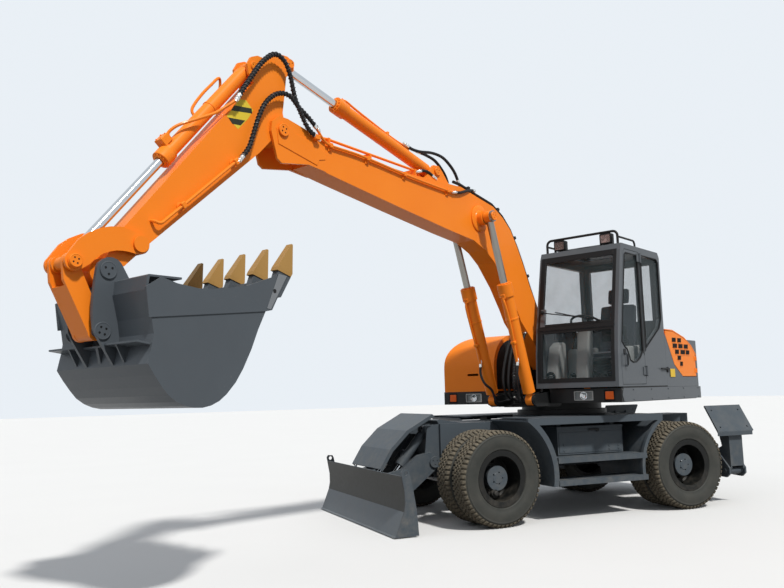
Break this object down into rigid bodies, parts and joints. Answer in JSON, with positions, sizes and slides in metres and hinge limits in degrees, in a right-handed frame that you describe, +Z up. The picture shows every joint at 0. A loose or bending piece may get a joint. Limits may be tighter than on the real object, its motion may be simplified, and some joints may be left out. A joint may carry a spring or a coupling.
{
  "type": "wheeled excavator",
  "caption": "Wheeled excavator with a one-piece boom, arm, toothed backhoe bucket, front blade, rear outriggers, twin tyres and a glazed cab on a slewing upper structure.",
  "frame": {"origin": "middle of the whole machine's footprint at ground level, with the boom out to its front left", "axes": "+X along the undercarriage towards the blade, +Y to its left, +Z up"},
  "size_m": [8.2182, 5.2129, 4.4],
  "materials": {
    "slate_paint": "satin",
    "orange_paint": "gloss",
    "black_paint": "satin",
    "rod_chrome": "polished",
    "tyre_rubber": "matt",
    "clear_glass": "clear",
    "lamp_lens": "clear",
    "cab_trim": "matt",
    "engine_metal": "matt",
    "steel_parts": "machined"
  },
  "bodies": {
    "chassis": {"chassis_frame": "slate_paint", "front_axle": "slate_paint", "rear_axle": "slate_paint", "side_steps": "slate_paint", "tool_boxes": "slate_paint", "slew_ring": "black_paint"},
    "knuckle_left": {"knuckle_left": "slate_paint"},
    "knuckle_right": {"knuckle_right": "slate_paint"},
    "tie_rod": {"tie_rod": "steel_parts"},
    "wheel_front_left": {"tyres_front_left": "tyre_rubber", "wheel_front_left": "black_paint"},
    "wheel_front_right": {"tyres_front_right": "tyre_rubber", "wheel_front_right": "black_paint"},
    "wheel_rear_left": {"tyres_rear_left": "tyre_rubber", "wheel_rear_left": "black_paint"},
    "wheel_rear_right": {"tyres_rear_right": "tyre_rubber", "wheel_rear_right": "black_paint"},
    "blade": {"blade": "slate_paint", "cowl": "slate_paint"},
    "blade_barrels": {"blade_barrels": "slate_paint"},
    "blade_rods": {"blade_rods": "rod_chrome"},
    "upper": {"platform": "black_paint", "counterweight": "slate_paint", "engine_block": "engine_metal", "engine_hood": "orange_paint", "side_panels": "slate_paint", "front_hood": "orange_paint", "bumper": "black_paint", "lamps": "lamp_lens", "cab_shell": "slate_paint", "cab_glass": "clear_glass", "cab_interior": "cab_trim", "roof_guard": "black_paint"},
    "engine_lid": {"engine_lid": "orange_paint"},
    "louvre_door_left": {"louvre_door_left": "orange_paint"},
    "louvre_door_right": {"louvre_door_right": "orange_paint"},
    "door": {"door": "slate_paint", "door_glass": "clear_glass"},
    "boom": {"boom": "orange_paint", "boom_pipes": "orange_paint", "boom_hose": "black_paint"},
    "boom_barrels": {"boom_barrels": "orange_paint"},
    "boom_rods": {"boom_rods": "rod_chrome"},
    "arm": {"arm": "orange_paint", "arm_pipes": "orange_paint"},
    "arm_barrel": {"arm_barrel": "orange_paint"},
    "arm_rod": {"arm_rod": "rod_chrome"},
    "bucket": {"bucket": "slate_paint", "bucket_tips": "steel_parts"},
    "bucket_barrel": {"bucket_barrel": "orange_paint"},
    "bucket_rod": {"bucket_rod": "rod_chrome"},
    "rocker": {"rocker": "orange_paint"},
    "bucket_link": {"bucket_link": "orange_paint"},
    "outrigger_left": {"outrigger_left": "slate_paint"},
    "outrigger_barrel_left": {"outrigger_barrel_left": "slate_paint"},
    "outrigger_rod_left": {"outrigger_rod_left": "rod_chrome"},
    "outrigger_right": {"outrigger_right": "slate_paint"},
    "outrigger_barrel_right": {"outrigger_barrel_right": "slate_paint"},
    "outrigger_rod_right": {"outrigger_rod_right": "rod_chrome"}
  },
  "joints": [
    {"name": "slew", "type": "hinge", "parent": "chassis", "child": "upper", "pos_m": [-1.958, -0.783, 1.12], "axis": [0, 0, 1], "continuous": true},
    {"name": "steer_left", "type": "hinge", "parent": "chassis", "child": "knuckle_left", "pos_m": [-0.285, -0.183, 0.505], "axis": [0, 0, 1], "range_deg": [-27, 17]},
    {"name": "steer_right", "type": "hinge", "parent": "chassis", "child": "knuckle_right", "pos_m": [-0.285, -1.383, 0.505], "axis": [0, 0, 1], "range_deg": [-27, 17]},
    {"name": "tie_rod_eye", "type": "hinge", "parent": "knuckle_left", "child": "tie_rod", "pos_m": [-0.04591, -0.16208, 0.435], "axis": [0, 0, 1], "range_deg": [-17.39, 27.59]},
    {"name": "roll_front_left", "type": "hinge", "parent": "knuckle_left", "child": "wheel_front_left", "pos_m": [-0.31681, 0.18061, 0.505], "axis": [-0.0872, 0.9962, 0], "continuous": true},
    {"name": "roll_rear_left", "type": "hinge", "parent": "chassis", "child": "wheel_rear_left", "pos_m": [-2.863, 0.182, 0.505], "axis": [0, 1, 0], "continuous": true},
    {"name": "roll_front_right", "type": "hinge", "parent": "knuckle_right", "child": "wheel_front_right", "pos_m": [-0.25319, -1.74661, 0.505], "axis": [-0.0872, 0.9962, 0], "continuous": true},
    {"name": "roll_rear_right", "type": "hinge", "parent": "chassis", "child": "wheel_rear_right", "pos_m": [-2.863, -1.748, 0.505], "axis": [0, 1, 0], "continuous": true},
    {"name": "blade_lift", "type": "hinge", "parent": "chassis", "child": "blade", "pos_m": [0.072, -0.783, 0.65], "axis": [0, -1, 0], "range_deg": [-10, 28]},
    {"name": "blade_barrel_turn", "type": "hinge", "parent": "chassis", "child": "blade_barrels", "pos_m": [0.087, -0.783, 1], "axis": [0, -1, 0], "range_deg": [-6.64, 18.49]},
    {"name": "blade_rod_slide", "type": "slide", "parent": "blade_barrels", "child": "blade_rods", "axis": [0.636, 0, -0.7717], "range_m": [-0.131, 0.0474]},
    {"name": "outrigger_left_swing", "type": "hinge", "parent": "chassis", "child": "outrigger_left", "pos_m": [-3.683, 0.292, 0.385], "axis": [-1, 0, 0], "range_deg": [0, 125]},
    {"name": "outrigger_barrel_left_turn", "type": "hinge", "parent": "chassis", "child": "outrigger_barrel_left", "pos_m": [-3.683, -0.528, 0.86], "axis": [-1, 0, 0], "range_deg": [-1.25, 0.05]},
    {"name": "outrigger_rod_left_slide", "type": "slide", "parent": "outrigger_barrel_left", "child": "outrigger_rod_left", "axis": [0, 0.937, -0.3492], "range_m": [-0.001, 0.4794]},
    {"name": "outrigger_right_swing", "type": "hinge", "parent": "chassis", "child": "outrigger_right", "pos_m": [-3.683, -1.858, 0.385], "axis": [1, 0, 0], "range_deg": [0, 125]},
    {"name": "outrigger_barrel_right_turn", "type": "hinge", "parent": "chassis", "child": "outrigger_barrel_right", "pos_m": [-3.683, -1.038, 0.86], "axis": [1, 0, 0], "range_deg": [-1.25, 0.05]},
    {"name": "outrigger_rod_right_slide", "type": "slide", "parent": "outrigger_barrel_right", "child": "outrigger_rod_right", "axis": [0, -0.937, -0.3492], "range_m": [-0.001, 0.4794]},
    {"name": "boom_lift", "type": "hinge", "parent": "upper", "child": "boom", "pos_m": [-1.60003, -0.60452, 1.78], "axis": [0.4462, -0.8949, 0], "range_deg": [-45, 27]},
    {"name": "boom_barrel_turn", "type": "hinge", "parent": "upper", "child": "boom_barrels", "pos_m": [-0.91988, -0.26541, 1.315], "axis": [0.4462, -0.8949, 0], "range_deg": [-45.07, 27.06]},
    {"name": "boom_rod_slide", "type": "slide", "parent": "boom_barrels", "child": "boom_rods", "axis": [0.2929, 0.146, 0.9449], "range_m": [-0.6922, 0.4157]},
    {"name": "arm_swing", "type": "hinge", "parent": "boom", "child": "arm", "pos_m": [2.33769, 1.35875, 3.69], "axis": [-0.4462, 0.8949, 0], "range_deg": [-25, 72]},
    {"name": "arm_barrel_turn", "type": "hinge", "parent": "boom", "child": "arm_barrel", "pos_m": [0.36883, 0.37711, 3.775], "axis": [-0.4462, 0.8949, 0], "range_deg": [-3.11, 8.87]},
    {"name": "arm_rod_slide", "type": "slide", "parent": "arm_barrel", "child": "arm_rod", "axis": [0.8641, 0.4308, 0.2603], "range_m": [-0.2497, 0.7173]},
    {"name": "bucket_curl", "type": "hinge", "parent": "arm", "child": "bucket", "pos_m": [3.78748, 2.08159, 2.304], "axis": [-0.4462, 0.8949, 0], "range_deg": [-145, 10]},
    {"name": "rocker_turn", "type": "hinge", "parent": "arm", "child": "rocker", "pos_m": [3.55032, 1.96335, 2.522], "axis": [-0.4462, 0.8949, 0], "range_deg": [-86.53, 6.01]},
    {"name": "link_turn", "type": "hinge", "parent": "bucket", "child": "bucket_link", "pos_m": [3.8188, 2.09721, 1.89], "axis": [-0.4462, 0.8949, 0], "range_deg": [-4.96, 71.2]},
    {"name": "bucket_barrel_turn", "type": "hinge", "parent": "arm", "child": "bucket_barrel", "pos_m": [2.59274, 1.48592, 4.19], "axis": [-0.4462, 0.8949, 0], "range_deg": [-10.27, 0.76]},
    {"name": "bucket_rod_slide", "type": "slide", "parent": "bucket_barrel", "child": "bucket_rod", "axis": [0.5777, 0.288, -0.7638], "range_m": [-0.6236, 0.0439]},
    {"name": "door_open", "type": "hinge", "parent": "upper", "child": "door", "pos_m": [-2.3663, 0.40347, 2.2], "axis": [0, 0, 1], "range_deg": [0, 165]},
    {"name": "engine_lid_open", "type": "hinge", "parent": "upper", "child": "engine_lid", "pos_m": [-2.38578, -0.99628, 2.152], "axis": [-0.4462, 0.8949, 0], "range_deg": [0, 60]},
    {"name": "louvre_left_open", "type": "hinge", "parent": "upper", "child": "louvre_door_left", "pos_m": [-3.80358, -0.32206, 1.7], "axis": [0, 0, 1], "range_deg": [0, 100]},
    {"name": "louvre_right_open", "type": "hinge", "parent": "upper", "child": "louvre_door_right", "pos_m": [-2.70058, -2.53434, 1.7], "axis": [0, 0, -1], "range_deg": [0, 100]}
  ],
  "couplings": [
    {"joint": "steer_right", "follows": "steer_left", "ratio": 1},
    {"joint": "tie_rod_eye", "follows": "steer_left", "ratio": -1},
    {"joint": "blade_barrel_turn", "follows": "blade_lift", "ratio": 0.6457},
    {"joint": "blade_rod_slide", "follows": "blade_lift", "m_per_rad": -0.2608},
    {"joint": "outrigger_barrel_left_turn", "follows": "outrigger_left_swing", "ratio": -0.0094},
    {"joint": "outrigger_rod_left_slide", "follows": "outrigger_left_swing", "m_per_rad": 0.215},
    {"joint": "outrigger_barrel_right_turn", "follows": "outrigger_right_swing", "ratio": -0.0094},
    {"joint": "outrigger_rod_right_slide", "follows": "outrigger_right_swing", "m_per_rad": 0.215},
    {"joint": "boom_barrel_turn", "follows": "boom_lift", "ratio": 0.9809},
    {"joint": "boom_rod_slide", "follows": "boom_lift", "m_per_rad": 0.8628},
    {"joint": "arm_barrel_turn", "follows": "arm_swing", "ratio": 0.1201},
    {"joint": "arm_rod_slide", "follows": "arm_swing", "m_per_rad": 0.5588},
    {"joint": "rocker_turn", "follows": "bucket_curl", "ratio": 0.5847},
    {"joint": "link_turn", "follows": "bucket_curl", "ratio": -0.4811},
    {"joint": "bucket_barrel_turn", "follows": "bucket_curl", "ratio": 0.0691},
    {"joint": "bucket_rod_slide", "follows": "bucket_curl", "m_per_rad": 0.2412}
  ]
}
